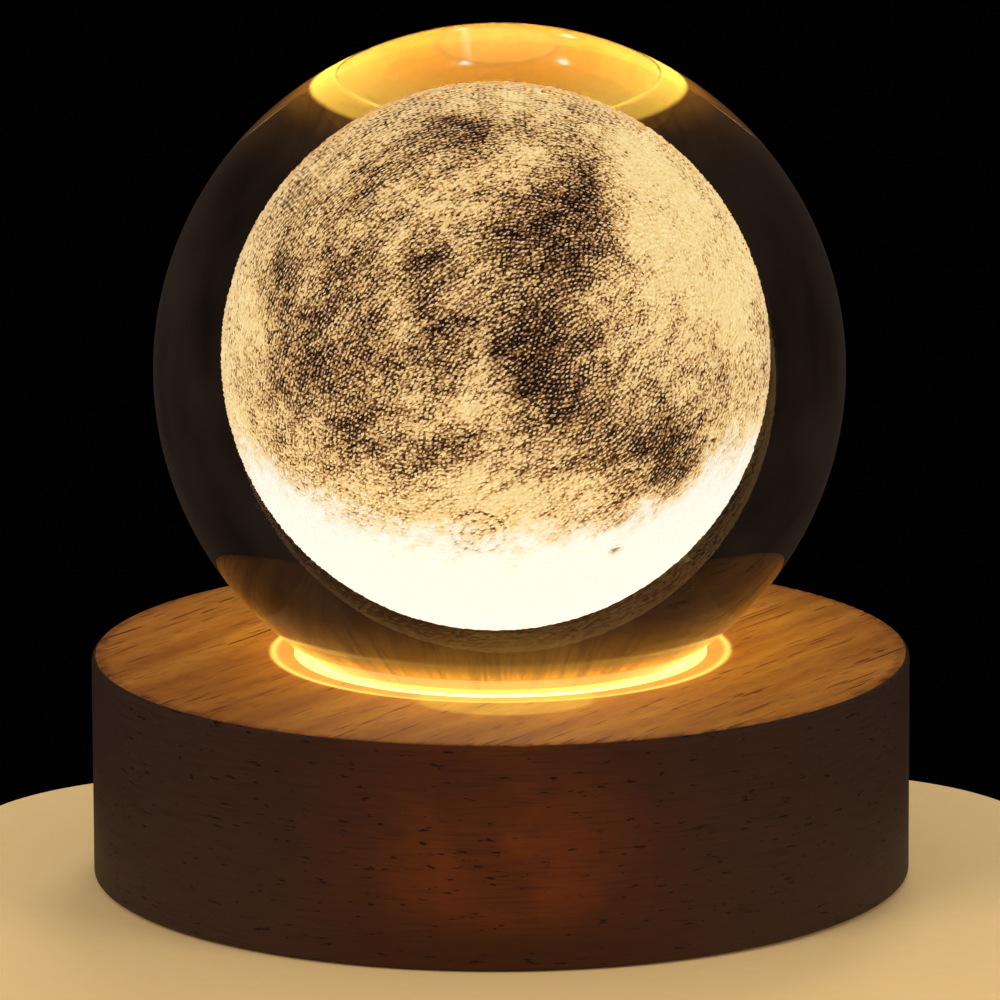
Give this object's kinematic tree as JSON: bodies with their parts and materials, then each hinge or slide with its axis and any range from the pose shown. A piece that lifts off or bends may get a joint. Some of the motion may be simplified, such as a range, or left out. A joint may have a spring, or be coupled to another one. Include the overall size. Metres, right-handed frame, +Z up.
{
  "type": "moon lamp",
  "caption": "Table lamp: a clear crystal ball with an engraved moon inside, seated on a glowing ring in a round wooden base with a push button and a power socket at the back.",
  "frame": {"origin": "on the table, under the centre of the round base", "axes": "+Z up through the centre of the ball, +Y towards the back with the button and the power socket, -Y towards the side shown in the picture"},
  "size_m": [0.095, 0.0964, 0.0996],
  "materials": {
    "wood": "turned close-grained hardwood with fine dark pores, matt oiled",
    "clear_plastic": "frosted acrylic, lit warm white from below",
    "diffuser": "opal sheet, lit from below",
    "white_plastic": "moulded white",
    "steel": "zinc plated",
    "white_board": "white solder mask on glass fibre board",
    "phosphor": "lit yellow phosphor gel",
    "black_plastic": "black moulding compound",
    "red_insulation": "soft insulation",
    "black_insulation": "soft insulation",
    "green_board": "green solder mask on glass fibre board",
    "socket_steel": "nickel plated sheet",
    "gold_contact": "gold flashed",
    "button_plastic": "fine-textured black",
    "cover_plastic": "fine-textured black",
    "foot_rubber": "matt",
    "crystal": "polished clear optical glass",
    "engraving": "white micro-cracks inside the glass, lit warm white"
  },
  "bodies": {
    "base": {"wood_base": "wood", "seat_ring": "clear_plastic", "diffuser_plate": "diffuser", "reflector_cup": "white_plastic", "cup_screws": "steel", "led_board": "white_board", "led_housings": "white_plastic", "led_phosphors": "phosphor", "led_resistors": "black_plastic", "led_board_screws": "steel", "wire_red": "red_insulation", "wire_black": "black_insulation", "control_board": "green_board", "control_board_screws": "steel", "control_chips": "black_plastic", "socket_shell": "socket_steel", "socket_tongue": "black_plastic", "socket_contacts": "gold_contact", "switch_housing": "black_plastic", "bottom_cover": "cover_plastic", "cover_screws": "steel", "foot_pads": "foot_rubber"},
    "ball": {"crystal_ball": "crystal", "moon_engraving": "engraving"},
    "button": {"button_cap": "button_plastic", "switch_plunger": "white_plastic"}
  },
  "joints": [
    {"name": "ball_lift", "type": "slide", "parent": "base", "child": "ball", "axis": [0, 0, 1], "range_m": [0, 0.08]},
    {"name": "button_press", "type": "slide", "parent": "base", "child": "button", "axis": [0, -1, 0], "range_m": [0, 0.0012], "stiffness_N_per_m": 1500, "springref_m": -0.0004}
  ]
}
